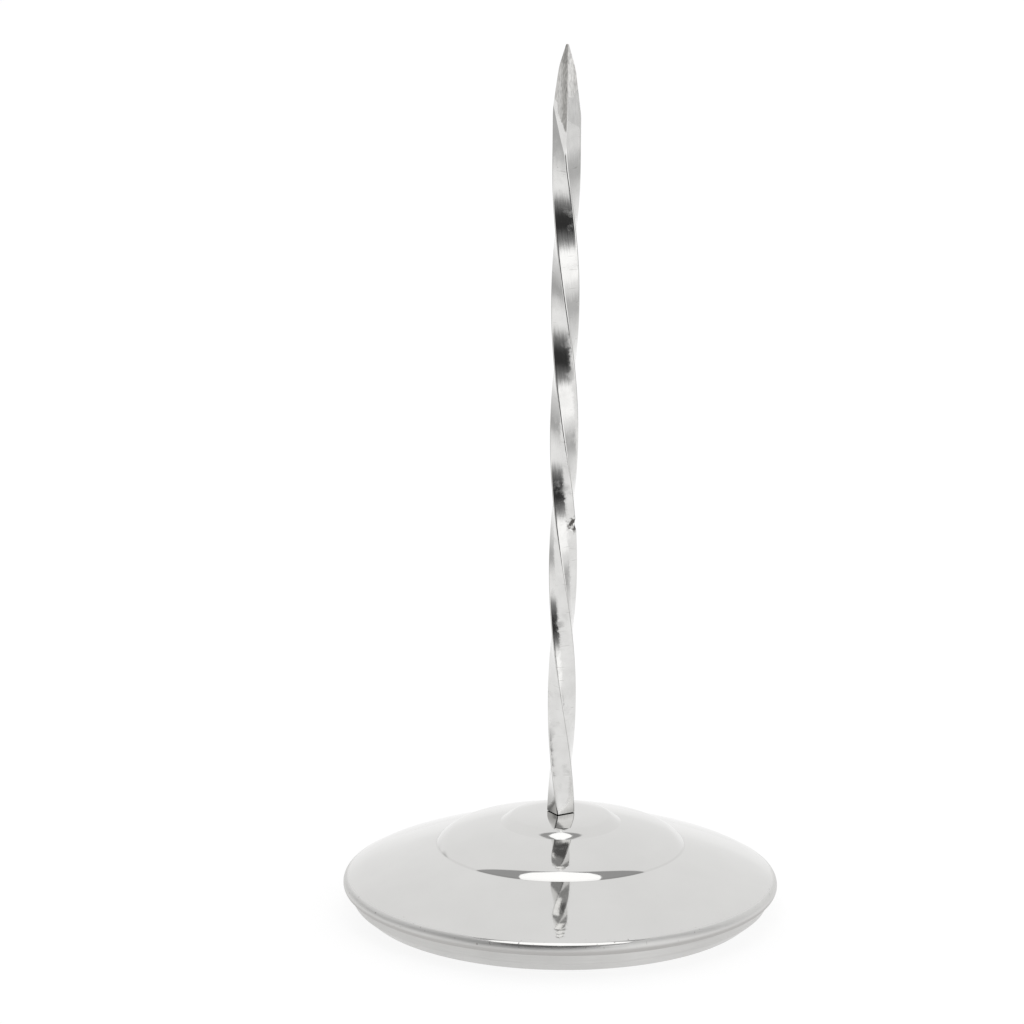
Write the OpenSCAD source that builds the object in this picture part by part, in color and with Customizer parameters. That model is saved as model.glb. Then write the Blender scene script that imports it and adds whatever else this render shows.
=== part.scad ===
// Ticket spike: a twisted square bar with a ground point on a weighted, stepped round base.
// The origin is the centre of the face it stands on. The bar points along +Z.

/* [Spike] */
// Width of the square bar across its flats
bar_w = 4; // [3.6:0.1:5]
// How far the bar's four corners are eased
bar_ease = 0.08; // [0.02:0.02:0.5]
// Length of the bar above the base
bar_len = 150.6; // [100:0.2:200]
// Length of bar in which it twists through one full left-hand turn
twist_pitch = 105; // [60:1:200]
// Turn of the bar's flats at its foot
foot_turn = 32; // [0:1:89]
// Length of plain bar above the twist, from which the point is ground
plain_len = 21; // [18:0.5:40]
// Length over which the twist dies out below and above the start of the plain bar
twist_fade = 8; // [2:0.5:12]

/* [Point] */
// Width across the flats at the very tip
tip_w = 0.4; // [0.2:0.1:1]
// Length of the steeper nib at the tip
nib_len = 5; // [3:0.5:6]
// Width across the flats where the nib begins
nib_w = 2.3; // [1.8:0.1:2.8]
// Slope of the long ground flats to the bar's axis
point_taper = 4.9; // [3:0.1:8]
// Turn of the ground flats from the flats of the plain bar
point_turn = 3; // [-10:1:10]

/* [Stud] */
// Diameter of the turned stud below the bar
stud_d = 3; // [2.5:0.1:3.2]
// Bevel at the end of the stud
stud_bevel = 0.4; // [0.2:0.1:0.8]
// How far the turned shoulder under the bar is set in from its flats
shoulder_inset = 0.05; // [0.02:0.01:0.15]
// Height of that shoulder, which leaves a fine seam under the bar
shoulder_h = 0.25; // [0.1:0.05:1]

/* [Dome rim] */
// Diameter of the dome at its widest point
dome_d = 84; // [78:1:96]
// Thickness of the dome's sheet metal
dome_t = 0.8; // [0.5:0.1:0.9]
// Height of the widest point above the table
nose_h = 5.6; // [5.2:0.1:7]
// Radius of the rim's bead above the widest point
bead_r = 1.7; // [1.6:0.05:2.4]
// Radius of the lip that turns under the bead
lip_r = 1.15; // [1.1:0.05:1.5]
// Width of the flat at the end of the lip
lip_land = 0.35; // [0.2:0.05:0.8]

/* [Dome outer tread] */
// Diameter of the crease where the inner tread rolls down to the outer one
ring_d = 47.8; // [42:0.2:54]
// Rise from the widest point to that crease
outer_rise = 7.8; // [7:0.1:9]
// Radius of the outer tread's crown
outer_crown_r = 115; // [80:1:200]
// Radius of the roll between that crown and the rim's bead
rim_roll_r = 28; // [20:1:40]
// Slope at which the roll runs into the bead
rim_roll_end = 31; // [28:1:36]

/* [Dome inner tread and cap] */
// Diameter of the crease at the foot of the cap
boss_d = 23.2; // [20:0.1:25]
// Rise from the outer crease to that crease
inner_rise = 4.4; // [4:0.1:5.2]
// Radius of the inner tread's crown
inner_crown_r = 55; // [40:1:150]
// Radius of the roll at the inner tread's edge
ring_round = 6.5; // [4:0.1:8]
// Slope at which that roll meets the outer crease
ring_flank = 52; // [42:1:62]
// Height of the cap above its crease
boss_h = 2; // [1.5:0.1:2.4]
// Slope of the cap's flank
boss_flank = 36; // [30:1:50]
// Radius of the cap's upper edge
boss_round = 2.2; // [1.4:0.1:2.6]
// Drop from the cap's flat middle to its upper edge
cap_crown = 0.45; // [0.15:0.05:0.5]
// Width of flat left round the washer under the cap
cap_margin = 0.7; // [0.3:0.1:1.5]

/* [Pan] */
// Thickness of the pan's sheet metal
pan_t = 0.8; // [0.5:0.1:0.9]
// Gap between the pan's wall and the dome's lip
lip_gap = 0.2; // [0.1:0.05:0.3]
// How far the sloped band draws in to the foot ring
taper_in = 2.7; // [1.5:0.1:4]
// Height of the sloped band
taper_h = 2.2; // [1.2:0.1:3]
// Width of the foot ring round the pad
foot_ring_w = 2.2; // [1.8:0.1:4]
// Room round the washer in the nut recess
wrench_room = 3; // [1:0.5:6]

/* [Pad and weight] */
// Thickness of the non-slip pad
pad_t = 1; // [0.8:0.1:2]
// How far the pad stands below the foot ring
pad_proud = 0.4; // [0.2:0.1:0.6]
// Gap round the pad
pad_gap = 0.4; // [0.2:0.1:1]
// Bevel round the edges of the pad
pad_bevel = 0.2; // [0.1:0.05:0.4]
// Height of the ballast disc
ballast_h = 7.2; // [6:0.1:8]
// Gap between the ballast disc and the edge of the pan's floor
ballast_gap = 3.4; // [2:0.1:8]
// Bevel round the edges of the ballast disc
ballast_bevel = 0.8; // [0.2:0.1:1.5]
// Gap round the pan's nut recess in the ballast disc
recess_gap = 0.3; // [0.1:0.1:1]

/* [Fasteners] */
// Gap between the stud and the holes that it passes through
hole_gap = 0.1; // [0.05:0.05:0.4]
// Gap between the stud and the nut, in place of the thread
thread_gap = 0.05; // [0.02:0.01:0.1]
// Outer diameter of the spacer tube
tube_d = 5; // [4.4:0.1:6]
// Outer diameter of the flat washers
washer_d = 7; // [6:0.1:9]
// Thickness of the flat washers
washer_t = 0.5; // [0.3:0.1:1]
// Outer diameter of the lock washer
lock_d = 6.2; // [5.4:0.1:7]
// Thickness of the lock washer
lock_t = 0.8; // [0.5:0.1:1.2]
// Width of the lock washer's slit
slit_w = 0.5; // [0.3:0.1:1]
// Lean of the lock washer's slit
slit_lean = 25; // [0:1:35]
// Width of the nut across its flats
nut_w = 5.5; // [5:0.1:7]
// Height of the nut
nut_h = 2.4; // [1.8:0.1:3]
// Room between the nut and the pad
nut_room = 0.5; // [0.3:0.1:2]
// How far the stud shows below the nut
stud_show = 0.3; // [0:0.1:0.3]

/* [Hidden] */
$fn = 96;
// Largest turn between two points of a rounded outline
arc_step = 5;
// Largest turn of the bar between two of its slices
twist_step = 3;
// Overlap that makes two solids one, or carries a cut past a face
cut = 1;
// Share of the lip's flat that the pan's flange rests on
flange_share = 0.7;

// Stack of the nut and washers in the recess, from the pad upwards
floor_z = pad_t;
floor_top = floor_z + pan_t;
nut_z = floor_z + nut_room;
lock_z = nut_z + nut_h;
lower_washer_z = lock_z + lock_t;
plate_z = lower_washer_z + washer_t;
plate_top = plate_z + pan_t;
stud_end_z = nut_z - stud_show;
ballast_top = floor_top + ballast_h;

// Holes round the stud
hole_d = stud_d + 2 * hole_gap;
thread_d = stud_d + 2 * thread_gap;

// Heights of the dome's creases and of the flat on its cap
ring_z = nose_h + outer_rise;
boss_z = ring_z + inner_rise;
cap_z = boss_z + boss_h;
upper_washer_z = cap_z - dome_t - washer_t;

// Pan, from the rim inwards
lip_edge_r = dome_d / 2 - lip_r - lip_land;
wall_r = lip_edge_r - lip_gap;
flange_r = lip_edge_r + flange_share * lip_land;
flange_z = nose_h - lip_r + dome_t;
foot_r = wall_r - taper_in;
seat_r = foot_r - foot_ring_w;
recess_r = washer_d / 2 + wrench_room;
taper_z = pad_proud + taper_h;
taper_angle = atan2(taper_h, taper_in);
pad_r = seat_r - pad_gap;
ballast_r = seat_r - ballast_gap;

// Bar
bar_z = cap_z + shoulder_h;
bar_h = bar_len - shoulder_h;
shoulder_d = bar_w - 2 * shoulder_inset;
twist_len = bar_h - plain_len;
fade_start = twist_len - twist_fade / 2;
fade_end = twist_len + twist_fade / 2;
bar_slices = ceil(360 * fade_end / twist_pitch / twist_step);
SLICE_HEIGHTS = [for (i = [0 : bar_slices]) fade_end * i / bar_slices, bar_h];
nib_taper = atan2((nib_w - tip_w) / 2, nib_len);

// Turn of the bar's flats at a height above its foot
function bar_turn(h) =
    let (past = max(0, h - fade_start))
    let (lost = past < twist_fade ? past * past / (2 * twist_fade) : past - twist_fade / 2)
    foot_turn - 360 * (h - lost) / twist_pitch;

// Eight corners of the bar's section at a height above its foot, anticlockwise from above
function bar_corners(h) =
    let (half = bar_w / 2)
    let (corner = half - bar_ease * sqrt(2))
    [for (side = [0 : 90 : 270]) for (y = [-corner, corner])
        let (turn = bar_turn(h) + side)
        [half * cos(turn) - y * sin(turn), half * sin(turn) + y * cos(turn), bar_z + h]];

// An outline's slope is 0 where it lies flat and 90 where it drops straight down.
function facing(slope) = [sin(slope), cos(slope)];
function slope_of(v) = atan2(v.x, v.y);

// Centre of the rounded upper edge of a step, above a crease, with a straight flank between them
function step_centre(crease, height, flank, round) =
    let (drop = height - round * (1 - cos(flank)))
    crease + [-drop / tan(flank), drop] - round * facing(flank);

// Centre of an arc of radius r that starts at point p and runs smoothly into the circle at c of radius c_r
function crown_centre(p, c, c_r, r) =
    let (gap = norm(c - p))
    let (along = (c - p) / gap)
    let (reach = (r * r - (r - c_r) * (r - c_r) + gap * gap) / (2 * gap))
    p + reach * along + sqrt(r * r - reach * reach) * [along.y, -along.x];

// Circles that the dome's outline follows
boss_crease = [boss_d / 2, boss_z];
boss_c = step_centre(boss_crease, boss_h - cap_crown, boss_flank, boss_round);
ring_crease = [ring_d / 2, ring_z];
ring_c = ring_crease - ring_round * facing(ring_flank);
bead_c = [dome_d / 2 - bead_r, nose_h];
roll_c = bead_c - (rim_roll_r - bead_r) * facing(rim_roll_end);
lip_c = [dome_d / 2 - lip_r, nose_h];
cap_flat_r = washer_d / 2 + cap_margin;
cap_run = boss_c.x - cap_flat_r;
cap_r = (cap_run * cap_run + cap_crown * (cap_crown + 2 * boss_round)) / (2 * cap_crown);
cap_c = [cap_flat_r, cap_z - cap_r];
inner_c = crown_centre(boss_crease, ring_c, ring_round, inner_crown_r);
outer_c = crown_centre(ring_crease, roll_c, rim_roll_r, outer_crown_r);

// The dome's outline as arcs of [centre, radius, first slope, last slope]; a crease has no radius
cap_end = slope_of(boss_c - cap_c);
inner_start = slope_of(boss_crease - inner_c);
inner_end = slope_of(ring_c - inner_c);
outer_start = slope_of(ring_crease - outer_c);
outer_end = slope_of(roll_c - outer_c);
DOME_ARCS = [
    [cap_c, cap_r, 0, cap_end],
    [boss_c, boss_round, cap_end, boss_flank],
    [boss_crease, 0, boss_flank, inner_start],
    [inner_c, inner_crown_r, inner_start, inner_end],
    [ring_c, ring_round, inner_end, ring_flank],
    [ring_crease, 0, ring_flank, outer_start],
    [outer_c, outer_crown_r, outer_start, outer_end],
    [roll_c, rim_roll_r, outer_end, rim_roll_end],
    [bead_c, bead_r, rim_roll_end, 90],
    [lip_c, lip_r, 90, 180]
];

// Points of one arc, moved inwards by depth; an arc that runs on from another leaves out its first point
function arc_points(arc, depth, runs_on) =
    let (r = arc[1] - depth)
    let (turn = arc[3] - arc[2])
    let (steps = r == 0 ? 0 : max(1, ceil(abs(turn) / arc_step)))
    [for (i = [runs_on ? 1 : 0 : steps]) arc[0] + r * facing(arc[2] + turn * i / max(1, steps))];

// Points of the dome's skin at a depth below its outer face, from the cap to the lip
function dome_skin(depth) =
    [for (i = [0 : len(DOME_ARCS) - 1])
        for (p = arc_points(DOME_ARCS[i], depth, i > 0 && DOME_ARCS[i][1] > 0)) p];

function reversed(list) = [for (i = [len(list) - 1 : -1 : 0]) list[i]];

// Half outline of a disc of radius r from z = 0 to z = h, with bevelled edges
function disc_outline(r, h, bevel) =
    [[0, 0], [r - bevel, 0], [r, bevel], [r, h - bevel], [r - bevel, h], [0, h]];

module ring(d, bore_d, h) {
    difference() {
        cylinder(d = d, h = h);
        translate([0, 0, -cut]) cylinder(d = bore_d, h = h + 2 * cut);
    }
}

// Four-sided taper down from the tip, at which it is top_w wide across its flats
module ground_flats(top_w, taper) {
    foot_w = top_w + 2 * bar_h * tan(taper);
    translate([0, 0, bar_z])
        rotate(bar_turn(bar_h) + point_turn - 45)
            cylinder(h = bar_h, r1 = foot_w / sqrt(2), r2 = top_w / sqrt(2), $fn = 4);
}

module twisted_bar() {
    corners = len(bar_corners(0));
    last = len(SLICE_HEIGHTS) - 1;
    foot = [for (j = [0 : corners - 1]) j];
    sides = [for (i = [0 : last - 1]) for (j = foot)
        let (a = i * corners + j, b = i * corners + (j + 1) % corners)
        each i < last - 1
            ? [[a, a + corners, b + corners], [a, b + corners, b]]
            : [[a, a + corners, b + corners, b]]];
    top = [for (j = reversed(foot)) last * corners + j];
    polyhedron([for (h = SLICE_HEIGHTS) each bar_corners(h)], concat([foot], sides, [top]));
}

module spike() {
    color("silver") {
        intersection() {
            twisted_bar();
            ground_flats(tip_w, nib_taper);
            ground_flats(nib_w - 2 * nib_len * tan(point_taper), point_taper);
        }
        translate([0, 0, cap_z]) cylinder(d = shoulder_d, h = shoulder_h);
        translate([0, 0, stud_end_z + stud_bevel])
            cylinder(d = stud_d, h = bar_z + cut - stud_end_z - stud_bevel);
        translate([0, 0, stud_end_z])
            cylinder(d1 = stud_d - 2 * stud_bevel, d2 = stud_d, h = stud_bevel);
    }
}

module dome_cover() {
    lip_edge = [[lip_edge_r, nose_h - lip_r], [lip_edge_r, flange_z]];
    outer = concat([[hole_d / 2, cap_z]], dome_skin(0), lip_edge);
    inner = concat([[hole_d / 2, cap_z - dome_t]], dome_skin(dome_t));
    color("gainsboro") rotate_extrude() polygon(concat(outer, reversed(inner)));
}

module base_pan() {
    under = [
        [hole_d / 2, plate_z], [recess_r, plate_z], [recess_r, floor_z], [seat_r, floor_z],
        [seat_r, pad_proud], [foot_r, pad_proud], [wall_r, taper_z], [wall_r, flange_z],
        [flange_r, flange_z]
    ];
    over = [
        [hole_d / 2, plate_top], [recess_r + pan_t, plate_top], [recess_r + pan_t, floor_top],
        [seat_r + pan_t, floor_top], [seat_r + pan_t, pad_proud + pan_t],
        [foot_r - pan_t * tan(taper_angle / 2), pad_proud + pan_t],
        [wall_r - pan_t, taper_z + pan_t * tan(45 - taper_angle / 2)],
        [wall_r - pan_t, flange_z + pan_t], [flange_r, flange_z + pan_t]
    ];
    color("darkgray") rotate_extrude() polygon(concat(under, reversed(over)));
}

module ballast_disc() {
    pocket_r = recess_r + pan_t + recess_gap;
    color("dimgray")
        difference() {
            translate([0, 0, floor_top])
                rotate_extrude() polygon(disc_outline(ballast_r, ballast_h, ballast_bevel));
            translate([0, 0, floor_top - cut]) cylinder(r = pocket_r, h = plate_top - floor_top + cut);
            translate([0, 0, floor_top]) cylinder(d = hole_d, h = ballast_h + cut);
        }
}

module spacer_tube() {
    color("lightgray") translate([0, 0, ballast_top]) ring(tube_d, hole_d, upper_washer_z - ballast_top);
}

module flat_washers() {
    color("lightsteelblue")
        for (z = [lower_washer_z, upper_washer_z])
            translate([0, 0, z]) ring(washer_d, hole_d, washer_t);
}

module lock_washer() {
    color("lightslategray")
        translate([0, 0, lock_z])
            difference() {
                ring(lock_d, hole_d, lock_t);
                translate([lock_d / 2, 0, lock_t / 2])
                    rotate([slit_lean, 0, 0])
                        cube([lock_d, slit_w, 4 * lock_t], center = true);
            }
}

module hex_nut() {
    corner_r = nut_w / 2 / cos(30);
    bevel = (corner_r - nut_w / 2) * tan(30);
    face = [
        [0, 0], [nut_w / 2, 0], [corner_r, bevel], [corner_r, nut_h - bevel], [nut_w / 2, nut_h], [0, nut_h]
    ];
    color("lightsteelblue")
        translate([0, 0, nut_z])
            difference() {
                intersection() {
                    cylinder(r = corner_r, h = nut_h, $fn = 6);
                    rotate_extrude() polygon(face);
                }
                translate([0, 0, -cut]) cylinder(d = thread_d, h = nut_h + 2 * cut);
            }
}

module non_slip_pad() {
    color("dimgray") rotate_extrude() polygon(disc_outline(pad_r, pad_t, pad_bevel));
}

spike();
dome_cover();
base_pan();
ballast_disc();
spacer_tube();
flat_washers();
lock_washer();
hex_nut();
non_slip_pad();
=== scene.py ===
import math

import bmesh
import bpy
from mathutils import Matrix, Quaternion, Vector


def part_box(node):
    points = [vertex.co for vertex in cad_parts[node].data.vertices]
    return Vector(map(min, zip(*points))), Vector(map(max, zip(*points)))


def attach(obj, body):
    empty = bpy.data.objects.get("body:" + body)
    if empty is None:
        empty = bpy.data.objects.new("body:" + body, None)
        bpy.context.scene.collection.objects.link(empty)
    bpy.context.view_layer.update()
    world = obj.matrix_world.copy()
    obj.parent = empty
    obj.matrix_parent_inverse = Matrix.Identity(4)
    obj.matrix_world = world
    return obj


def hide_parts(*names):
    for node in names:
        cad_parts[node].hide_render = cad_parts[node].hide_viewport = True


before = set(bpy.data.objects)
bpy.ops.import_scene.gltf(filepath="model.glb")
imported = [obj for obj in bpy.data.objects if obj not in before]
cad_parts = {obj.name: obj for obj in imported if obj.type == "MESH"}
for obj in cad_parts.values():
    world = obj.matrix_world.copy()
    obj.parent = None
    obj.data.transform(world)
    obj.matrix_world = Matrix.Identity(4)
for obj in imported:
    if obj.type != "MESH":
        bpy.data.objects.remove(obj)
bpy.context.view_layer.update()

MM = 0.001

# Photograph's frame in pixels, and the view that matches it
FRAME_PX = 1024
SENSOR_MM = 36.0
FOCAL_PX = 6504.0
CAMERA_DISTANCE = 1260.0
CAMERA_ELEVATION = 18.0
CAMERA_ROLL = 0.52
TARGET_Z = 13.2
TARGET_PX = (560.5, 843.8)

# Bar and point, in millimetres and degrees
BAR_HALF = 2.0
BAR_EDGE_R = 0.32
FLAT_ANGLES = list(range(-36, 37, 4))
EDGE_ANGLES = [40, 40.9, 41.8, 42.8, 43.9]
BAR_FOOT_Z = 20.05
BAR_PITCH = 105.0
BAR_FOOT_TURN = 32.0
TWIST_END_Z = 149.4
TWIST_FADE = 8.0
BAR_FOOT_BREAK = 0.02
SEAM_H = 0.14
BAR_SLICE = 0.4
BAR_SHARP = 40
POINT_SPARE = 1.0
POINT_TURN = 3.0
POINT_STAGES = [(0.17, 0.196), (0.435, 0.137), (0.7215, 0.0857)]
LEFT_FLAT_TURN = 10.6
LEFT_FLAT_STAGES = [*POINT_STAGES[:-1], (0.5665, 0.0857)]
EDGE_FLAT_TURN = -71.5
EDGE_FLAT = (1.047, 0.064)
GROUND_LEN = 9.3
GROUND_LEAN = 7.4
BAR_PIT = (2.2, -1.5, 77.6)
PIT_R = 1.3
PIT_DEPTH = 0.35
SHOULDER_R = 1.95
STUD_R = 1.5
STUD_BEVEL = 0.4

# Dome, in millimetres and degrees
DOME_T = 0.8
HOLE_R = 1.6
NOSE_Z = 5.6
BEAD_R = 1.7
ROLL_R = 28.0
ROLL_END = 31.0
LIP_R = 1.15
LIP_LAND = 0.35
OUTER_CROWN_R = 115.0
RING_R = 23.9
RING_Z = 13.4
RING_FLANK = 52.0
RING_ROUND = 6.5
INNER_CROWN_R = 55.0
BOSS_R = 11.6
BOSS_Z = 17.8
BOSS_H = 2.0
BOSS_ROUND = 2.2
FLANK_TOP = 31.5
FLANK_MIDDLE = 37.3
FLANK_FOOT = 33.2
CAP_CROWN = 0.45
CAP_FLAT_R = 4.2
DOME_SHARP = 20

# Pan and pad, in millimetres
PAN_T = 0.8
WALL_R = 40.3
FLANGE_R = 40.745
FLANGE_Z = 5.25
FOOT_R = 37.6
SEAT_R = 35.4
RECESS_R = 6.5
PLATE_Z = 5.2
TAPER_Z = 2.6
FOOT_Z = 0.4
PAD_R = 35.0
PAD_T = 1.0
PAN_ROUND = 0.3
TIGHT_ROUND = 0.1
RECESS_ROUND = 0.6
SEAT_ROUND = 0.15
SEAT_ROUND_IN = 0.2
SEAT_EDGE_ROUND = 0.25
FOOT_ROUND = 0.6
TAPER_ROUND = 1.2
TAPER_ROUND_IN = 0.4
PAD_ROUND = 0.25
PAN_SHARP = 30

# Meshes: sides, steps along an outline in radians and millimetres, and tolerances
TURNED_SIDES = 256
FILLET_STEPS = 6
OUTER_STEP = math.radians(2.0)
INNER_STEP = math.radians(6.0)
OUTER_RUN = 1.0
INNER_RUN = 4.0
SAME_POINT = 1e-4
ON_AXIS = 1e-6
ON_PLANE = 1e-7

# Most of a noise lies between these values
NOISE_LOW = 0.3
NOISE_HIGH = 0.7

# Bar's finish: where its marks, painted shade and painted highlight begin and end, across it, up it
# and round its pit, in metres
LEFT_X = (0.00025, -0.0001)
LEAN_X = (-0.0028, -0.0001)
FOOT_DARK_X = (-0.0003, -0.0014)
FOOT_DARK_Z = (0.027, 0.0205)
# where the painted shade on the ground point's left flat and by its right edge begins and is full
LEFT_SHADE_X = (-0.0014, -0.0005)
RIGHT_SHADE_X = (0.0007, 0.0016)
GROUND_RAGGED = 0.0009
GROUND_SOFT = 0.0003
PIT_RAGGED = 0.0006
PIT_DARK_R = (0.0018, 0.0005)
PIT_HIGHLIGHT_R = (0.0005, 0.0003)
EDGE_LINE_IN = (0.00186, 0.0019)
EDGE_LINE_Z = (0.1454, 0.143)
SEAM_SOFT = 0.000012

# Bar's finish: stretch of its noises on each axis
DRAWN_STRETCH = (3000, 3000, 60)
SCRATCH_STRETCH = (300, 300, 4000)
GRIT_STRETCH = (5000, 5000, 900)

# Bar's finish: spans of a noise that give marks, how strongly they and the painted shade show,
# roughness, linear tones, among them painted shade and a painted highlight
SCRATCH_SPAN = (0.68, 0.74)
SPECK_SPAN = (0.79, 0.83)
DULL_SPAN = (0.52, 0.68)
SCRATCH_SHARE = 0.35
EDGE_SHADE_SHARE = 0.8
FOOT_DARK_SHARE = 0.95
LEFT_SHADE_SHARE = (0.45, 1.0)
RIGHT_SHADE_SHARE = 0.4
HAZE_RELIEF = 4.0
GRIT_RELIEF = 6.0
DRAWN_ROUGH = (0.07, 0.13)
DULL_ROUGH = 0.27
GROUND_ROUGH = (0.3, 0.5)
SEAM_ROUGH = 0.6
BAR_TONES = ((0.66, 0.656, 0.645), (0.75, 0.746, 0.735))
MARK_TONE = (0.3, 0.29, 0.275, 1)
PIT_TONE = (0.1, 0.095, 0.09, 1)
# near-white painted highlight in the middle of the pit
PIT_HIGHLIGHT_TONE = (0.95, 0.94, 0.92, 1)
# dark tone of the painted shade along the bar's edges
EDGE_SHADE_TONE = (0.2, 0.195, 0.185, 1)
FOOT_DARK_TONE = (0.4, 0.395, 0.385, 1)
# near-black painted shade in the gap at the bar's foot
SEAM_SHADE_TONE = (0.02, 0.02, 0.02, 1)
# lit and shaded tones of the ground point; the darker one is painted shade
LIT_GRIT = [(NOISE_LOW, (0.62, 0.615, 0.6)), (0.6, (1.0, 0.99, 0.97))]
SHADED_GRIT = [(NOISE_LOW, (0.22, 0.215, 0.205)), (0.65, (0.6, 0.59, 0.57))]

# Dome's finish: wear on its rim, grime in its pits, and painted shade low on its rim and in its
# crease, in metres, then as for the bar
RIM_R = (0.0402, 0.041)
# heights where the painted shade on the rim's lower edge begins and is full
RIM_SHADE_Z = (0.0059, 0.0052)
WORN_Z = (0.0067, 0.0061)
WORN_SIDE_X = (0.009, 0.02)
WORN_SIDE_RISE = 0.0007
CREASE_HALF = (0.0003, 0.0001)
TURNING_SPREAD = 60.0
RIM_PIT_SPAN = (0.68, 0.74)
TURNING_SPAN = (0.3, 0.75)
RIM_SHADE_SHARE = 0.75
CREASE_SHADE_SHARE = 0.15
DOME_ROUGH = (0.035, 0.075)
WORN_ROUGH = 0.45
DOME_TONES = ((0.654, 0.65, 0.639), (0.68, 0.676, 0.665))
# tone of the grime in the rim's pits and of the painted shade low on the rim and in the crease
GRIME_AND_SHADE_TONE = (0.42, 0.41, 0.4, 1)

# Other finishes: roughness and linear tones
PAN_ROUGH = (0.3, 0.44)
PAN_TONES = ((0.53, 0.526, 0.516), (0.65, 0.645, 0.634))
PAD_ROUGH = (0.7, 0.9)
PAD_TONES = [(NOISE_LOW, (0.018, 0.018, 0.019)), (0.75, (0.05, 0.05, 0.052))]
IRON_ROUGH = (0.55, 0.8)
IRON_TONES = [(0.35, (0.07, 0.068, 0.066)), (0.55, (0.12, 0.115, 0.11)), (0.8, (0.14, 0.095, 0.06))]

# Studio's light levels all the way round, at degrees from the front, negative at the left
LOW_RING = [
    (-180, 1.07), (-156, 0.98), (-124, 0.68), (-108, 0.5), (-98, 0.58), (-91, 0.8), (-75, 1.04),
    (-60, 1.07), (-54, 0.96), (-48, 0.58), (-42, 0.28), (-32, 0.13), (-24, 0.045), (-8, 0.04),
    (0, 0.14), (8, 0.26), (14, 0.5), (20, 1.05), (26, 1.33), (54, 1.34), (62, 1.22), (68, 1.02),
    (78, 0.9), (86, 0.66), (90, 0.58), (104, 0.58), (120, 0.85), (145, 0.98), (180, 1.07),
]
MID_RING = [
    (-180, 0.42), (-50, 0.42), (-30, 0.14), (16, 0.14), (20, 0.18), (22.5, 0.6), (25, 1.25),
    (56, 1.3), (72, 0.6), (80, 0.42), (180, 0.42),
]
HIGH_RING = [(-180, 0.42), (-46, 0.42), (-30, 0.15), (14, 0.15), (28, 0.42), (180, 0.42)]
TENT_RING = [(-180, 1.0), (-144, 1.0), (-132, 0.45), (-100, 0.42), (100, 1.0), (180, 1.0)]
TENT_LEVEL = 1.0
ALL_ROUND = (-180, 180)

# Heights in degrees where one ring gives way to the next, and how far back the tent begins
LOW_TO_MID = (5.0, 11.0)
MID_TO_HIGH = (36.0, 42.0)
TENT_TO_TOP = (14.0, 20.0)
FRONT_TO_TENT = (0.08, 0.12)

# Bright panel overhead: its half width at each angle up and over from the front, in degrees
PANEL_WIDTH = [
    (57, 0), (58, 10), (60, 17), (63, 23), (66, 26.5), (72, 26), (80, 23), (90, 14), (96, 0),
]
UP_AND_OVER = (0, 180)
PANEL_FULL = 40.0
PANEL_EDGE = 0.6
PANEL_LEVEL = 1.5

# Studio, in metres and linear light
TABLE_R = 0.27
TABLE_SOFT = 0.004
FLOOR_HALF = 4.0
FLOOR_CELLS = 8
FLOOR_Z = -0.00005
FLOOR_ALBEDO = (0.21, 0.22)
FLOOR_GLOW = 0.84


def new_object(name, bm):
    """Object of that name from a finished bmesh, which is freed."""
    mesh = bpy.data.meshes.new(name)
    bm.to_mesh(mesh)
    bm.free()
    made = bpy.data.objects.new(name, mesh)
    bpy.context.scene.collection.objects.link(made)
    return made


def smooth_shade(piece, sharp_angle):
    """Smooth shading that breaks at edges sharper than the angle, in degrees."""
    piece.data.shade_smooth()
    piece.data.set_sharp_from_angle(angle=math.radians(sharp_angle))


def bridge(bm, lower, upper):
    """Faces between two rings of vertices; a ring of one vertex is a pole."""
    count = max(len(lower), len(upper))
    for i in range(count):
        j = (i + 1) % count
        below = [lower[i % len(lower)], lower[j % len(lower)]]
        above = [upper[j % len(upper)], upper[i % len(upper)]]
        bm.faces.new(list(dict.fromkeys(below + above)))


def facing(slope):
    """Direction, as (outwards, up), in which an outline of that slope faces."""
    return Vector((math.sin(slope), math.cos(slope)))


def slope_of(v):
    """Slope of an outline that faces a direction."""
    return math.atan2(v.x, v.y)


def cap_flank(crease, height):
    """Cap's flank: centre of its upper edge's circle, then a swell and a hollow down to the crease."""
    top, middle, foot = (math.radians(a) for a in (FLANK_TOP, FLANK_MIDDLE, FLANK_FOOT))
    bend = 2 * facing(middle) - facing(top) - facing(foot)
    swell_r = (BOSS_ROUND * (1 - math.cos(top)) - height) / bend.y
    edge = crease - swell_r * bend - BOSS_ROUND * facing(top)
    swell = edge + (BOSS_ROUND - swell_r) * facing(top)
    hollow = swell + 2 * swell_r * facing(middle)
    return edge, [(swell, swell_r, top, middle), (hollow, -swell_r, middle, foot)]


def crown_centre(start, c, c_r, r):
    """Centre of an arc of radius r that leaves a point and runs smoothly into the circle at c."""
    gap = (c - start).length
    along = (c - start) / gap
    reach = (r * r - (r - c_r) ** 2 + gap * gap) / (2 * gap)
    return start + reach * along + math.sqrt(r * r - reach * reach) * Vector((along.y, -along.x))


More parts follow.
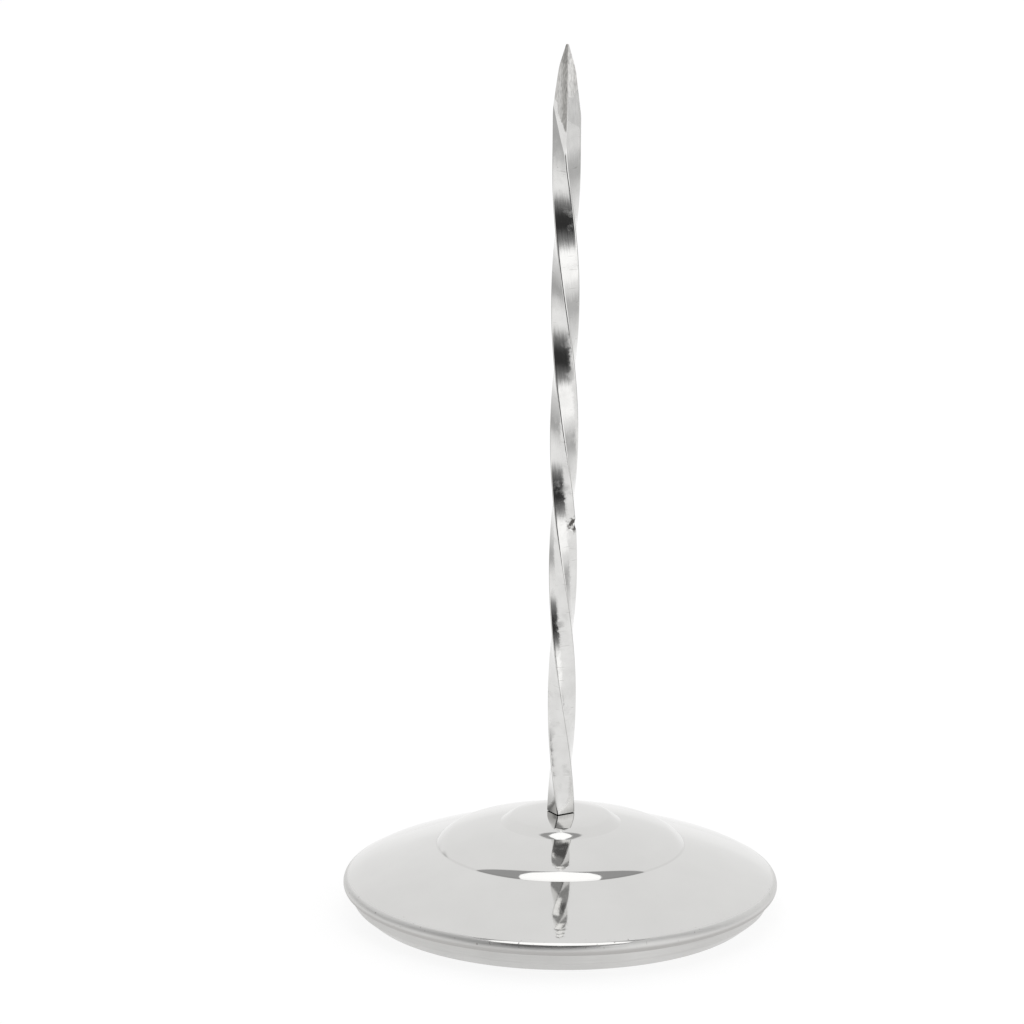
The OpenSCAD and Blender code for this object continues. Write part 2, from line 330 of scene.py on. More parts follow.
def dome_arcs(dome_r, cap_z):
    """Dome's outline from cap to lip, as (centre, radius, first slope, last slope).

    A crease has no radius.
    """
    ring_flank, roll_end = math.radians(RING_FLANK), math.radians(ROLL_END)
    boss_crease, ring_crease = Vector((BOSS_R, BOSS_Z)), Vector((RING_R, RING_Z))
    edge, flank = cap_flank(boss_crease, BOSS_H - CAP_CROWN)
    ring = ring_crease - RING_ROUND * facing(ring_flank)
    bead, lip = Vector((dome_r - BEAD_R, NOSE_Z)), Vector((dome_r - LIP_R, NOSE_Z))
    roll = bead - (ROLL_R - BEAD_R) * facing(roll_end)
    run = edge.x - CAP_FLAT_R
    cap_r = (run * run + CAP_CROWN * (CAP_CROWN + 2 * BOSS_ROUND)) / (2 * CAP_CROWN)
    cap = Vector((CAP_FLAT_R, cap_z - cap_r))
    inner = crown_centre(boss_crease, ring, RING_ROUND, INNER_CROWN_R)
    outer = crown_centre(ring_crease, roll, ROLL_R, OUTER_CROWN_R)
    cap_end = slope_of(edge - cap)
    inner_start, inner_end = slope_of(boss_crease - inner), slope_of(ring - inner)
    outer_start, outer_end = slope_of(ring_crease - outer), slope_of(roll - outer)
    return [
        (cap, cap_r, 0.0, cap_end),
        (edge, BOSS_ROUND, cap_end, flank[0][2]),
        *flank,
        (boss_crease, 0.0, flank[1][3], inner_start),
        (inner, INNER_CROWN_R, inner_start, inner_end),
        (ring, RING_ROUND, inner_end, ring_flank),
        (ring_crease, 0.0, ring_flank, outer_start),
        (outer, OUTER_CROWN_R, outer_start, outer_end),
        (roll, ROLL_R, outer_end, roll_end),
        (bead, BEAD_R, roll_end, math.pi / 2),
        (lip, LIP_R, math.pi / 2, math.pi),
    ]


def skin(arcs, depth, max_turn, max_run):
    """Points along the arcs at a depth below the outer face."""
    points = []
    for centre, radius, first, last in arcs:
        r = radius - depth
        turn = last - first
        steps = max(1, math.ceil(max(abs(turn) / max_turn, abs(turn * r) / max_run)))
        for i in range(steps + 1):
            p = centre + r * facing(first + turn * i / steps)
            if not points or (p - points[-1]).length > SAME_POINT:
                points.append(p)
    return points


def dome_outline():
    """Dome's section: its outer face from the hole to the lip, and its inner face back."""
    dome_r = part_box("dome_cover")[1].x / MM
    cap_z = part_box("dome_cover")[1].z / MM
    arcs = dome_arcs(dome_r, cap_z)
    lip_r = dome_r - LIP_R - LIP_LAND
    outer = [Vector((HOLE_R, cap_z))] + skin(arcs, 0.0, OUTER_STEP, OUTER_RUN)
    lip_edge = [Vector((lip_r, NOSE_Z - LIP_R)), Vector((lip_r, NOSE_Z - LIP_R + DOME_T))]
    inner = skin(arcs, DOME_T, INNER_STEP, INNER_RUN)[::-1] + [Vector((HOLE_R, cap_z - DOME_T))]
    return outer + lip_edge + inner


def rounded(corners):
    """Outline through corners of (radius, height, fillet), with each fillet as a short arc."""
    points = []
    for i, (x, z, fillet) in enumerate(corners):
        here = Vector((x, z))
        if fillet == 0:
            points.append(here)
            continue
        before = (Vector(corners[i - 1][:2]) - here).normalized()
        after = (Vector(corners[(i + 1) % len(corners)][:2]) - here).normalized()
        half = before.angle(after) / 2
        centre = here + (before + after).normalized() * fillet / math.sin(half)
        arm = fillet / math.tan(half)
        first, last = here + before * arm - centre, here + after * arm - centre
        for k in range(FILLET_STEPS + 1):
            points.append(centre + first.lerp(last, k / FILLET_STEPS).normalized() * fillet)
    return points


def pan_outline():
    """Pan's section: its underside from the hole to the flange, and its upper side back."""
    top_flange = FLANGE_Z + PAN_T
    slope = math.atan2(TAPER_Z - FOOT_Z, WALL_R - FOOT_R)
    foot_in = FOOT_R - PAN_T * math.tan(slope / 2)
    taper_top = TAPER_Z + PAN_T * math.tan(math.pi / 4 - slope / 2)
    return rounded([
        (HOLE_R, PLATE_Z, 0), (RECESS_R, PLATE_Z, PAN_ROUND), (RECESS_R, PAD_T, RECESS_ROUND),
        (SEAT_R, PAD_T, SEAT_ROUND), (SEAT_R, FOOT_Z, SEAT_EDGE_ROUND), (FOOT_R, FOOT_Z, FOOT_ROUND),
        (WALL_R, TAPER_Z, TAPER_ROUND), (WALL_R, FLANGE_Z, TIGHT_ROUND), (FLANGE_R, FLANGE_Z, 0),
        (FLANGE_R, top_flange, 0), (WALL_R - PAN_T, top_flange, TIGHT_ROUND),
        (WALL_R - PAN_T, taper_top, TAPER_ROUND_IN), (foot_in, FOOT_Z + PAN_T, PAN_ROUND),
        (SEAT_R + PAN_T, FOOT_Z + PAN_T, TIGHT_ROUND), (SEAT_R + PAN_T, PAD_T + PAN_T, SEAT_ROUND_IN),
        (RECESS_R + PAN_T, PAD_T + PAN_T, PAN_ROUND), (RECESS_R + PAN_T, PLATE_Z + PAN_T, PAN_ROUND),
        (HOLE_R, PLATE_Z + PAN_T, 0),
    ])


def pad_outline():
    """Pad's section: a flat disc with rounded edges."""
    return rounded([(0, 0, 0), (PAD_R, 0, PAD_ROUND), (PAD_R, PAD_T, PAD_ROUND), (0, PAD_T, 0)])


def turned(name, outline, sharp_angle):
    """Solid turned about Z from a closed outline of (radius, height) points."""
    bm = bmesh.new()
    rings = []
    for p in outline:
        sides = 1 if p.x < ON_AXIS else TURNED_SIDES
        angles = [2 * math.pi * k / TURNED_SIDES for k in range(sides)]
        r, z = p.x * MM, p.y * MM
        rings.append([bm.verts.new((r * math.cos(a), r * math.sin(a), z)) for a in angles])
    for i, ring in enumerate(rings):
        following = rings[(i + 1) % len(rings)]
        if len(ring) + len(following) > 2:
            bridge(bm, ring, following)
    bmesh.ops.recalc_face_normals(bm, faces=bm.faces)
    piece = new_object(name, bm)
    smooth_shade(piece, sharp_angle)
    return piece


def bar_turn(z):
    """Turn of the bar's flats at a height, in degrees; the twist dies out below the plain end."""
    past = max(0.0, z - TWIST_END_Z + TWIST_FADE / 2)
    lost = past * past / (2 * TWIST_FADE) if past < TWIST_FADE else past - TWIST_FADE / 2
    return BAR_FOOT_TURN - (z - BAR_FOOT_Z - lost) * 360 / BAR_PITCH


def section_angles():
    """Angles round one section of the bar, close together on its four rounded edges."""
    side = [-45] + [-a for a in reversed(EDGE_ANGLES)] + FLAT_ANGLES + EDGE_ANGLES
    return [90 * k + a for k in range(4) for a in side]


def section_reach(angle, half):
    """Distance from the bar's axis to its face at an angle, in degrees, from the middle of a flat."""
    off = abs((angle + 45) % 90 - 45)
    flat = half - BAR_EDGE_R
    if off <= math.degrees(math.atan2(flat, half)):
        return half / math.cos(math.radians(off))
    corner = math.sqrt(2) * flat
    lean = math.radians(45 - off)
    return corner * math.cos(lean) + math.sqrt(BAR_EDGE_R ** 2 - (corner * math.sin(lean)) ** 2)


def pit_depth(place):
    """Depth, at a place on the bar, of the small pit in its edge, in millimetres."""
    near = max(0.0, 1 - (place - Vector(BAR_PIT)).length / PIT_R)
    return PIT_DEPTH * near * near * (3 - 2 * near)


def bar_ring(bm, z, half):
    """Ring of vertices round the square bar at a height."""
    turn = bar_turn(z)
    ring = []
    for a in section_angles():
        direction = math.radians(turn + a)
        out = Vector((math.cos(direction), math.sin(direction), 0))
        place = out * section_reach(a, half) + Vector((0, 0, z))
        ring.append(bm.verts.new((place - out * pit_depth(place)) * MM))
    return ring


def round_ring(bm, z, r):
    """Round ring about the stud at a height, with as many vertices as the bar's rings have."""
    turn = bar_turn(BAR_FOOT_Z)
    directions = [math.radians(turn + a) for a in section_angles()]
    return [bm.verts.new((r * MM * math.cos(d), r * MM * math.sin(d), z * MM)) for d in directions]


def grind_point(bm, tip_z):
    """Cuts the bar's end to four flats, the left one turned, with a flat up the front edge."""
    turn = bar_turn(tip_z)
    grind_flat(bm, tip_z, turn + EDGE_FLAT_TURN, *EDGE_FLAT)
    for at_tip, slope in POINT_STAGES:
        for k in range(3):
            grind_flat(bm, tip_z, turn + POINT_TURN + 90 * k, at_tip, slope)
    for at_tip, slope in LEFT_FLAT_STAGES:
        grind_flat(bm, tip_z, turn + POINT_TURN + LEFT_FLAT_TURN + 270, at_tip, slope)
    cut_flat(bm, Vector((0, 0, tip_z * MM)), Vector((0, 0, 1)))


def grind_flat(bm, tip_z, turn, at_tip, slope):
    """Cuts one flat that faces a turn, in degrees, and slopes away from the axis as it goes down.

    Its distance from the axis at the tip is in millimetres.
    """
    out = Vector((math.cos(math.radians(turn)), math.sin(math.radians(turn)), 0))
    normal = (out + Vector((0, 0, slope))).normalized()
    cut_flat(bm, out * at_tip * MM + Vector((0, 0, tip_z * MM)), normal)


def cut_flat(bm, on_plane, normal):
    """Cuts away what lies beyond a plane and closes the cut with one flat face."""
    whole = list(bm.verts) + list(bm.edges) + list(bm.faces)
    plane = {"plane_co": on_plane, "plane_no": normal}
    cut = bmesh.ops.bisect_plane(bm, geom=whole, dist=ON_PLANE, clear_outer=True, **plane)
    edges = [e for e in cut["geom_cut"] if isinstance(e, bmesh.types.BMEdge)]
    bmesh.ops.contextual_create(bm, geom=edges)
    for e in edges:
        e.smooth = False


def make_spike():
    """Bar with its stud, a broken edge at its foot and a ground point."""
    low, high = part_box("spike")
    stud_z, tip_z, cap_z = low.z / MM, high.z / MM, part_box("dome_cover")[1].z / MM
    foot_z = cap_z + SEAM_H
    bm = bmesh.new()
    rings = [[bm.verts.new((0, 0, stud_z * MM))], round_ring(bm, stud_z, STUD_R - STUD_BEVEL)]
    rings += [round_ring(bm, stud_z + STUD_BEVEL, STUD_R), round_ring(bm, cap_z, STUD_R)]
    rings += [round_ring(bm, cap_z, SHOULDER_R), round_ring(bm, foot_z, SHOULDER_R)]
    rings.append(bar_ring(bm, foot_z, BAR_HALF - BAR_FOOT_BREAK))
    steps = math.ceil((tip_z + POINT_SPARE - foot_z - BAR_FOOT_BREAK) / BAR_SLICE)
    for i in range(steps + 1):
        rings.append(bar_ring(bm, foot_z + BAR_FOOT_BREAK + i * BAR_SLICE, BAR_HALF))
    rings.append([bm.verts.new((0, 0, rings[-1][0].co.z))])
    for lower, upper in zip(rings, rings[1:]):
        bridge(bm, lower, upper)
    bmesh.ops.recalc_face_normals(bm, faces=bm.faces)
    for e in bm.edges:
        e.smooth = e.calc_face_angle(0.0) < math.radians(BAR_SHARP)
    for f in bm.faces:
        f.smooth = True
    grind_point(bm, tip_z)
    return new_object("twisted_spike", bm)


def add(tree, kind, inputs=None, out=0, **settings):
    """Adds a node with its settings and inputs, of which sockets are linked, and gives one output."""
    node = tree.nodes.new(kind)
    for name, value in settings.items():
        setattr(node, name, value)
    for key, value in (inputs or {}).items():
        if isinstance(value, bpy.types.NodeSocket):
            tree.links.new(value, node.inputs[key])
        else:
            node.inputs[key].default_value = value
    return None if out is None else node.outputs[out]


def calc(tree, operation, a, b=0.0):
    """Result of one sum on numbers or sockets."""
    return add(tree, "ShaderNodeMath", {0: a, 1: b}, operation=operation)


def fade(tree, value, start, end, low=0.0, high=1.0):
    """Smooth change from low to high as a value goes from start to end."""
    inputs = {"Value": value, "From Min": start, "From Max": end, "To Min": low, "To Max": high}
    return add(tree, "ShaderNodeMapRange", inputs, interpolation_type="SMOOTHSTEP")


def blend(tree, factor, a, b):
    """Mix of two numbers or greys."""
    return add(tree, "ShaderNodeMix", {0: factor, 2: a, 3: b})


def tint(tree, factor, a, b):
    """Mix of two colours."""
    return add(tree, "ShaderNodeMix", {0: factor, 6: a, 7: b}, out=2, data_type="RGBA")


def ramp(tree, value, stops):
    """Colour ramp through stops of (place, colour), where a colour may be one grey."""
    made = add(tree, "ShaderNodeValToRGB", {0: value})
    elements = made.node.color_ramp.elements
    while len(elements) < len(stops):
        elements.new(1.0)
    for element, (place, colour) in zip(elements, stops):
        element.position = place
        element.color = (*colour, 1) if isinstance(colour, tuple) else (colour, colour, colour, 1)
    return made


def noise(tree, vector, scale, detail):
    """Noise at a place, from 0 to 1."""
    return add(tree, "ShaderNodeTexNoise", {"Vector": vector, "Scale": scale, "Detail": detail})


def stretched(tree, vector, scale):
    """Coordinates stretched by a scale on each axis."""
    return add(tree, "ShaderNodeMapping", {"Vector": vector, "Scale": scale})


def bump(tree, height, strength, distance):
    """Normal that follows a relief, of a distance in metres."""
    return add(tree, "ShaderNodeBump", {"Height": height, "Strength": strength, "Distance": distance})


def tone_of(tree, value, dark, light):
    """Colour between a dark and a light tone that follows a noise."""
    return ramp(tree, value, [(NOISE_LOW, dark), (NOISE_HIGH, light)])


def varied(tree, value, low, high):
    """Number between low and high that follows a noise."""
    return fade(tree, value, NOISE_LOW, NOISE_HIGH, low, high)


def parts_of(tree, vector):
    """Outputs for the three parts of a vector."""
    return add(tree, "ShaderNodeSeparateXYZ", {0: vector}).node.outputs


def new_material(name, metallic):
    """New material with a surface shader.

    Gives the material, its nodes, that shader and the place on the piece.
    """
    made = bpy.data.materials.new(name)
    made.use_nodes = True
    tree = made.node_tree
    shader = tree.nodes["Principled BSDF"]
    shader.inputs["Metallic"].default_value = metallic
    return made, tree, shader, add(tree, "ShaderNodeTexCoord", out="Object")


def connect(tree, shader, **sockets):
    """Links outputs to the shader's inputs; an underscore stands for a space."""
    for name, output in sockets.items():
        tree.links.new(output, shader.inputs[name.replace("_", " ")])


def polar(tree, place):
    """Distance from Z, turn about Z and height of a place."""
    x, y, z = parts_of(tree, place)
    squares = calc(tree, "ADD", calc(tree, "MULTIPLY", x, x), calc(tree, "MULTIPLY", y, y))
    return calc(tree, "SQRT", squares), calc(tree, "ARCTAN2", y, x), z


def round_lines(tree, place, spread, scale, detail):
    """Noise drawn out into lines that run round Z."""
    radius, turn, height = polar(tree, place)
    up, out = (calc(tree, "MULTIPLY", part, spread) for part in (height, radius))
    along = add(tree, "ShaderNodeCombineXYZ", {0: turn, 1: up, 2: out})
    return noise(tree, along, scale, detail)


def polished_dome():
    """Mirror plating with fine turning lines, duller on the rim's edge, grimy in the rim's pits, with
    painted shade low on the rim and in the crease.
    """
    made, tree, shader, place = new_material("polished_dome", metallic=1.0)
    radius, turn, height = polar(tree, place)
    out = calc(tree, "MULTIPLY", radius, TURNING_SPREAD)
    rings = add(tree, "ShaderNodeCombineXYZ", {0: out, 1: turn})
    lines = noise(tree, rings, scale=30.0, detail=6.0)
    haze = noise(tree, place, scale=90.0, detail=3.0)
    pits = noise(tree, place, scale=1500.0, detail=2.0)
    by_rim = fade(tree, radius, *RIM_R)
    pitted = calc(tree, "MULTIPLY", fade(tree, pits, *RIM_PIT_SPAN), by_rim)
    # painted shade on the rim's lower edge
    rim_shade = calc(tree, "MULTIPLY", by_rim, fade(tree, height, *RIM_SHADE_Z, 0.0, RIM_SHADE_SHARE))
    # marks: grime in the rim's pits, and painted shade low on the rim and in the ring's crease
    marks = calc(tree, "MAXIMUM", calc(tree, "MAXIMUM", crease_shade(tree, radius), pitted), rim_shade)
    colour = tint(tree, marks, tone_of(tree, haze, *DOME_TONES), GRIME_AND_SHADE_TONE)
    dulled = calc(tree, "MAXIMUM", pitted, rim_wear(tree, place, height, by_rim))
    rough = blend(tree, dulled, fade(tree, lines, *TURNING_SPAN, *DOME_ROUGH), WORN_ROUGH)
    relief = bump(tree, haze, strength=0.02, distance=0.0004)
    connect(tree, shader, Base_Color=colour, Roughness=rough, Normal=relief)
    return made


def rim_wear(tree, place, height, by_rim):
    """Wear on the lower part of the rim, which begins higher at its sides."""
    to_side = calc(tree, "ABSOLUTE", parts_of(tree, place)[0])
    rise = fade(tree, to_side, *WORN_SIDE_X, 0.0, WORN_SIDE_RISE)
    return calc(tree, "MULTIPLY", by_rim, fade(tree, calc(tree, "SUBTRACT", height, rise), *WORN_Z))


def crease_shade(tree, radius):
    """Painted shade: a faint dark line round the dome in the crease of its ring."""
    off = calc(tree, "ABSOLUTE", calc(tree, "SUBTRACT", radius, RING_R * MM))
    return fade(tree, off, *CREASE_HALF, 0.0, CREASE_SHADE_SHARE)


def satin_pan():
    """Plain plated sheet, dulled, with streaks that run round it."""
    made, tree, shader, place = new_material("satin_pan", metallic=1.0)
    streaks = round_lines(tree, place, spread=400.0, scale=6.0, detail=6.0)
    haze = noise(tree, place, scale=70.0, detail=3.0)
    tone = tone_of(tree, blend(tree, 0.5, streaks, haze), *PAN_TONES)
    relief = bump(tree, streaks, strength=0.12, distance=0.0002)
    connect(tree, shader, Base_Color=tone, Roughness=varied(tree, streaks, *PAN_ROUGH), Normal=relief)
    return made


def bright_bar(tip_z, cap_z):
    """Drawn bar with fine lines along its twist, scratches and pits, and a rough ground point, with
    painted shade at its foot, edges and point and a painted highlight in its pit.
    """
    made, tree, shader, place = new_material("bright_bar", metallic=1.0)
    aside, _, height = parts_of(tree, place)
    straight = without_twist(tree, place, height)
    lines = noise(tree, stretched(tree, straight, DRAWN_STRETCH), scale=1.0, detail=4.0)
    haze = noise(tree, place, scale=300.0, detail=3.0)
    grit = noise(tree, stretched(tree, place, GRIT_STRETCH), scale=1.0, detail=5.0)
    left = fade(tree, aside, *LEFT_X)
    ground = ground_end(tree, aside, height, haze, left, tip_z)
    foot = (cap_z + SEAM_H) * MM
    # painted shade in the gap between the bar's foot and the cap
    seam_shade = fade(tree, height, foot + SEAM_SOFT, foot)
    clean = pit_tone(tree, place, drawn_tone(tree, place, straight, haze))
    # painted shade along the bar's four edges
    edge_shaded = tint(tree, edge_shade(tree, straight, height), clean, EDGE_SHADE_TONE)
    # darker at the left of the foot, more so lower down
    drawn = tint(tree, foot_darkening(tree, aside, height), edge_shaded, FOOT_DARK_TONE)
    bare = tint(tree, ground, drawn, ground_tone(tree, aside, grit, left))
    colour = tint(tree, seam_shade, bare, SEAM_SHADE_TONE)
    rough = blend(tree, seam_shade, bar_roughness(tree, place, lines, grit, ground), SEAM_ROUGH)
    mottled = calc(tree, "ADD", lines, calc(tree, "MULTIPLY", haze, HAZE_RELIEF))
    uneven = blend(tree, ground, mottled, calc(tree, "MULTIPLY", grit, GRIT_RELIEF))
    relief = bump(tree, uneven, strength=0.06, distance=0.0002)
    connect(tree, shader, Base_Color=colour, Roughness=rough, Normal=relief)
    return made


def without_twist(tree, place, height):
    """Coordinates on the bar with its twist taken out."""
    inputs = {"Vector": place, "Angle": calc(tree, "MULTIPLY", height, 2 * math.pi / (BAR_PITCH * MM))}
    return add(tree, "ShaderNodeVectorRotate", inputs, rotation_type="Z_AXIS")


def drawn_tone(tree, place, straight, haze):
    """Tone of the drawn bar with its scratches and specks."""
    across = noise(tree, stretched(tree, straight, SCRATCH_STRETCH), scale=1.0, detail=2.0)
    spots = noise(tree, place, scale=900.0, detail=1.0)
    scratches = fade(tree, across, *SCRATCH_SPAN, 0.0, SCRATCH_SHARE)
    marks = calc(tree, "MAXIMUM", scratches, fade(tree, spots, *SPECK_SPAN))
    return tint(tree, marks, tone_of(tree, haze, *BAR_TONES), MARK_TONE)


def pit_tone(tree, place, tone):
    """A tone with the bar's pit in it, dark and ragged round a painted highlight in its middle."""
    inputs = {0: place, 1: [c * MM for c in BAR_PIT]}
    away = add(tree, "ShaderNodeVectorMath", inputs, out="Value", operation="DISTANCE")
    uneven = varied(tree, noise(tree, place, scale=1600.0, detail=3.0), -PIT_RAGGED, PIT_RAGGED)
    dark = tint(tree, fade(tree, calc(tree, "ADD", away, uneven), *PIT_DARK_R), tone, PIT_TONE)
    # painted highlight in the middle of the pit
    return tint(tree, fade(tree, away, *PIT_HIGHLIGHT_R), dark, PIT_HIGHLIGHT_TONE)


def edge_shade(tree, straight, height):
    """Painted shade: a thin dark line along the four edges of the twisted bar, from its coordinates
    without the twist.
    """
    flats_turn = math.radians(BAR_FOOT_TURN + BAR_FOOT_Z * 360 / BAR_PITCH)
    inputs = {"Vector": straight, "Angle": -flats_turn}
    square = add(tree, "ShaderNodeVectorRotate", inputs, rotation_type="Z_AXIS")
    x, y, _ = parts_of(tree, square)
    nearer = calc(tree, "MINIMUM", calc(tree, "ABSOLUTE", x), calc(tree, "ABSOLUTE", y))
    on_edge = fade(tree, nearer, *EDGE_LINE_IN, 0.0, EDGE_SHADE_SHARE)
    return calc(tree, "MULTIPLY", on_edge, fade(tree, height, *EDGE_LINE_Z))


def foot_darkening(tree, aside, height):
    """How much darker the bar is at the left of its foot, more so lower down and further left."""
    by_foot = fade(tree, height, *FOOT_DARK_Z, 0.0, FOOT_DARK_SHARE)
    return calc(tree, "MULTIPLY", by_foot, fade(tree, aside, *FOOT_DARK_X))


def ground_end(tree, aside, height, haze, left, tip_z):
    """How far the bar is ground; the lower edge is ragged, and leans down to the front at the left."""
    lean = calc(tree, "MULTIPLY", left, fade(tree, aside, *LEAN_X, 0.0, GROUND_LEAN * MM))
    ragged = calc(tree, "ADD", height, varied(tree, haze, -GROUND_RAGGED, GROUND_RAGGED))
    end = (tip_z - GROUND_LEN) * MM
    return fade(tree, calc(tree, "ADD", ragged, lean), end - GROUND_SOFT, end + GROUND_SOFT)


def ground_tone(tree, aside, grit, left):
    """Tone of the ground point, with painted shade on its left flat and by its right edge."""
    # painted shade on the left flat and by the right edge of the ground point
    by_left = calc(tree, "MULTIPLY", left, fade(tree, aside, *LEFT_SHADE_X, *LEFT_SHADE_SHARE))
    shaded = calc(tree, "MAXIMUM", by_left, fade(tree, aside, *RIGHT_SHADE_X, 0.0, RIGHT_SHADE_SHARE))
    return tint(tree, shaded, ramp(tree, grit, LIT_GRIT), ramp(tree, grit, SHADED_GRIT))


def bar_roughness(tree, place, lines, grit, ground):
    """Roughness of the bar: drawn lines with dull patches, and the rough ground point."""
    patches = noise(tree, place, scale=420.0, detail=2.0)
    drawn = blend(tree, fade(tree, patches, *DULL_SPAN), varied(tree, lines, *DRAWN_ROUGH), DULL_ROUGH)
    return blend(tree, ground, drawn, varied(tree, grit, *GROUND_ROUGH))


def pad_rubber():
    """Dark moulded rubber with a fine grain and a dusty bloom."""
    made, tree, shader, place = new_material("pad_rubber", metallic=0.0)
    grain = noise(tree, place, scale=2600.0, detail=3.0)
    bloom = noise(tree, place, scale=60.0, detail=4.0)
    tone = ramp(tree, bloom, PAD_TONES)
    relief = bump(tree, grain, strength=0.5, distance=0.0002)
    connect(tree, shader, Base_Color=tone, Roughness=varied(tree, grain, *PAD_ROUGH), Normal=relief)
    return made


def turned_metal(name, dark, light, rough, spread):
    """Plain machined metal with lines that run round it and a mottled tone."""
    made, tree, shader, place = new_material(name, metallic=1.0)
    lines = round_lines(tree, place, spread, scale=5.0, detail=5.0)
    mottle = noise(tree, place, scale=500.0, detail=3.0)
    tone = tone_of(tree, blend(tree, 0.5, lines, mottle), dark, light)
    relief = bump(tree, lines, strength=0.1, distance=0.0002)
    connect(tree, shader, Base_Color=tone, Roughness=varied(tree, lines, *rough), Normal=relief)
    return made


def ballast_iron():
    """Cast iron with a sandy skin and brown stains."""
    made, tree, shader, place = new_material("ballast_iron", metallic=0.8)
    sand = noise(tree, place, scale=1400.0, detail=4.0)
    stains = noise(tree, place, scale=80.0, detail=4.0)
    tone = ramp(tree, stains, IRON_TONES)
    relief = bump(tree, sand, strength=0.6, distance=0.0003)
    connect(tree, shader, Base_Color=tone, Roughness=varied(tree, sand, *IRON_ROUGH), Normal=relief)
    return made


def dress(piece, made):
    """Gives a new piece its material."""
    piece.data.materials.append(made)


def redress(node, made):
    """Gives a CAD node's slots a material."""
    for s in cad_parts[node].material_slots:
        s.material = made


def stand_for(piece, node):
    """A fixed piece in place of a CAD node."""
    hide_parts(node)
    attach(piece, "root")


def studio_world():
    """White tent with a dim opening in front, a light at its right and a bright panel above it."""
    world = bpy.data.worlds.new("studio")
    bpy.context.scene.world = world
    world.use_nodes = True
    tree = world.node_tree
    tree.nodes.clear()
    way = parts_of(tree, add(tree, "ShaderNodeTexCoord", out="Generated"))
    ahead = calc(tree, "MULTIPLY", way[1], -1.0)
    up = calc(tree, "DEGREES", calc(tree, "ARCSINE", way[2]))
    aside = calc(tree, "DEGREES", calc(tree, "ARCTAN2", way[0], ahead))
    rings = (LOW_RING, MID_RING, HIGH_RING, TENT_RING)
    low, mid, high, back = (level(tree, aside, ALL_ROUND, stops) for stops in rings)
    upper = blend(tree, fade(tree, up, *MID_TO_HIGH), mid, high)
    front = blend(tree, in_panel(tree, way, ahead), upper, PANEL_LEVEL)
    tent = blend(tree, fade(tree, up, *TENT_TO_TOP), back, TENT_LEVEL)
    above = blend(tree, fade(tree, way[1], *FRONT_TO_TENT), front, tent)
    seen = blend(tree, fade(tree, up, *LOW_TO_MID), low, above)
    surface = add(tree, "ShaderNodeBackground", {"Color": seen})
    add(tree, "ShaderNodeOutputWorld", {"Surface": surface}, out=None)


def in_panel(tree, way, ahead):
    """How far a way from the object lies within the panel overhead, from 0 to 1."""
    over = calc(tree, "DEGREES", calc(tree, "ARCTAN2", way[2], ahead))
    across = calc(tree, "DEGREES", calc(tree, "ARCSINE", calc(tree, "ABSOLUTE", way[0])))
    shape = [(angle, width / PANEL_FULL) for angle, width in PANEL_WIDTH]
    half = calc(tree, "MULTIPLY", level(tree, over, UP_AND_OVER, shape), PANEL_FULL)
    return fade(tree, calc(tree, "SUBTRACT", half, across), -PANEL_EDGE, PANEL_EDGE)


def level(tree, value, span, stops):
    """Light level that follows stops of (place, level) over a value that runs through the span."""
    first, last = span
    share = calc(tree, "DIVIDE", calc(tree, "SUBTRACT", value, first), last - first)
    return ramp(tree, share, [((at - first) / (last - first), light) for at, light in stops])


def white_floor():
    """White floor that keeps the object's shadow."""
    bm = bmesh.new()
    bmesh.ops.create_grid(bm, x_segments=FLOOR_CELLS, y_segments=FLOOR_CELLS, size=FLOOR_HALF)
    floor = new_object("floor", bm)
    floor.location.z = FLOOR_Z
    dress(floor, floor_material())


def floor_material():
    """Matt cloth with a white glow, which metal sees only as far as the table's edge."""
    made = bpy.data.materials.new("floor_white")
    made.use_nodes = True
    tree = made.node_tree
    tree.nodes.clear()
    rays = add(tree, "ShaderNodeLightPath").node.outputs
    place = add(tree, "ShaderNodeNewGeometry", out="Position")
    away = add(tree, "ShaderNodeVectorMath", {0: place}, out="Value", operation="LENGTH")
    past_edge = fade(tree, away, TABLE_R - TABLE_SOFT, TABLE_R + TABLE_SOFT)
    hidden = calc(tree, "MULTIPLY", past_edge, rays["Is Glossy Ray"])
    tone = tone_of(tree, noise(tree, place, scale=30.0, detail=2.0), *FLOOR_ALBEDO)
    matt = add(tree, "ShaderNodeBsdfDiffuse", {"Color": tone})
    mirrored = calc(tree, "MAXIMUM", rays["Is Glossy Ray"], rays["Is Transmission Ray"])
    shown = calc(tree, "MAXIMUM", rays["Is Camera Ray"], mirrored)
    glow = add(tree, "ShaderNodeEmission", {"Strength": calc(tree, "MULTIPLY", shown, FLOOR_GLOW)})
    lit = add(tree, "ShaderNodeAddShader", {0: matt, 1: glow})
    clear = add(tree, "ShaderNodeBsdfTransparent")
    surface = add(tree, "ShaderNodeMixShader", {0: hidden, 1: lit, 2: clear})
    add(tree, "ShaderNodeOutputMaterial", {"Surface": surface}, out=None)
    return made


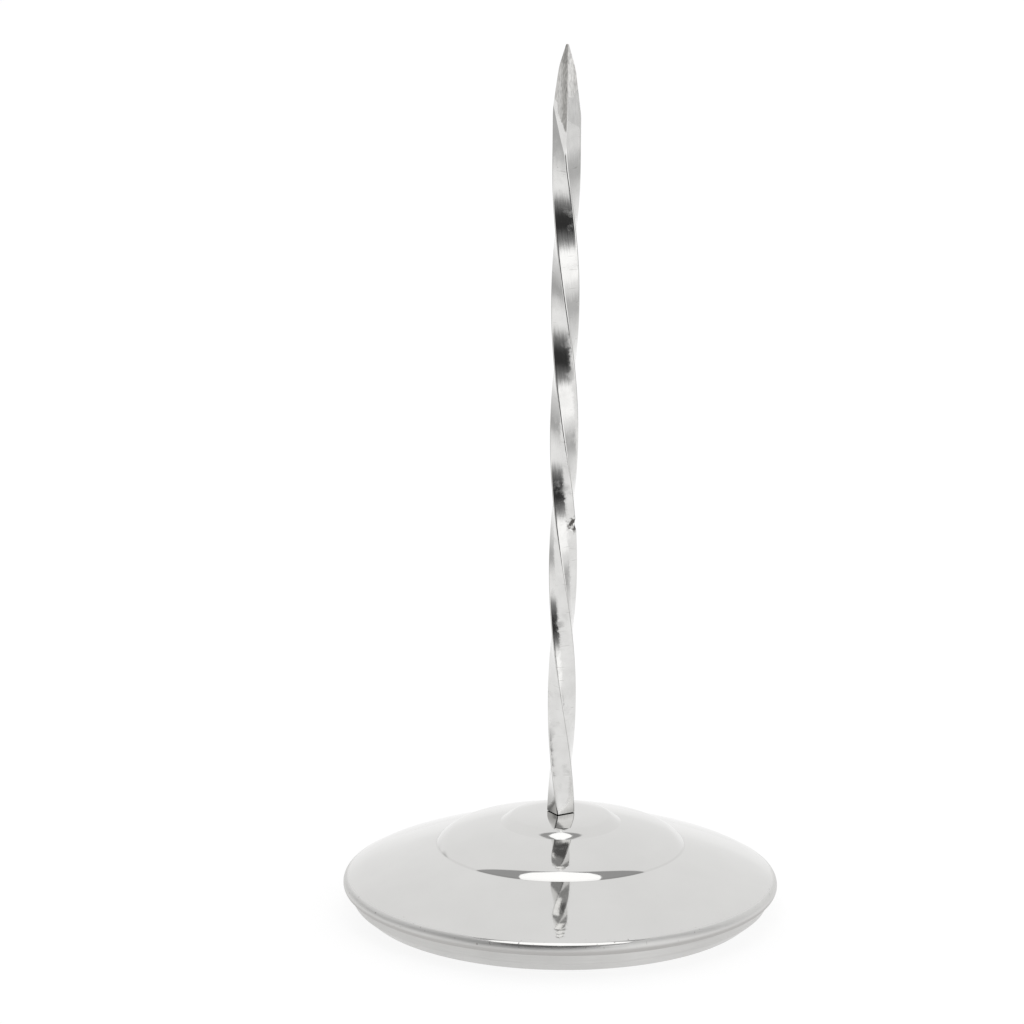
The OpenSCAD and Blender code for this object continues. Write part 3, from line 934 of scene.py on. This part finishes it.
def make_camera():
    """Camera from which the target lands on its pixel, with the photograph's slight lean."""
    elevation = math.radians(CAMERA_ELEVATION)
    back = Vector((0, -math.cos(elevation), math.sin(elevation)))
    data = bpy.data.cameras.new("camera")
    data.sensor_width = SENSOR_MM
    data.lens = FOCAL_PX * SENSOR_MM / FRAME_PX
    camera = bpy.data.objects.new("camera", data)
    camera.location = (Vector((0, 0, TARGET_Z)) + back * CAMERA_DISTANCE) * MM
    ray = Vector((TARGET_PX[0] - FRAME_PX / 2, FRAME_PX / 2 - TARGET_PX[1], -FOCAL_PX))
    to_middle = ray.rotation_difference(Vector((0, 0, -1)))
    lean = Quaternion((0, 0, 1), math.radians(CAMERA_ROLL))
    camera.rotation_mode = "QUATERNION"
    camera.rotation_quaternion = (-back).to_track_quat("-Z", "Y") @ lean @ to_middle
    bpy.context.scene.collection.objects.link(camera)
    bpy.context.scene.camera = camera


def dress_inner_nodes():
    """Materials of the CAD nodes that keep their own shape."""
    plated_tones = ((0.62, 0.65, 0.68), (0.82, 0.83, 0.84))
    tube_tones = ((0.5, 0.5, 0.5), (0.7, 0.7, 0.69))
    spring_tones = ((0.2, 0.2, 0.21), (0.36, 0.36, 0.37))
    plated = turned_metal("plated_hardware", *plated_tones, rough=(0.25, 0.4), spread=500.0)
    tube = turned_metal("tube_steel", *tube_tones, rough=(0.3, 0.45), spread=700.0)
    spring = turned_metal("spring_steel", *spring_tones, rough=(0.35, 0.5), spread=600.0)
    redress("ballast_disc", ballast_iron())
    redress("spacer_tube", tube)
    redress("flat_washers", plated)
    redress("hex_nut", plated)
    redress("lock_washer", spring)


def build():
    """The four visual pieces in place of their CAD nodes, and the inner nodes' materials."""
    spike = make_spike()
    dress(spike, bright_bar(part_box("spike")[1].z / MM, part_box("dome_cover")[1].z / MM))
    stand_for(spike, "spike")
    dome = turned("stepped_dome", dome_outline(), DOME_SHARP)
    dress(dome, polished_dome())
    stand_for(dome, "dome_cover")
    pan = turned("satin_base_pan", pan_outline(), PAN_SHARP)
    dress(pan, satin_pan())
    stand_for(pan, "base_pan")
    pad = turned("grip_pad", pad_outline(), PAN_SHARP)
    dress(pad, pad_rubber())
    stand_for(pad, "non_slip_pad")
    dress_inner_nodes()


build()
studio_world()
white_floor()
make_camera()
bpy.context.scene.view_settings.view_transform = "Standard"
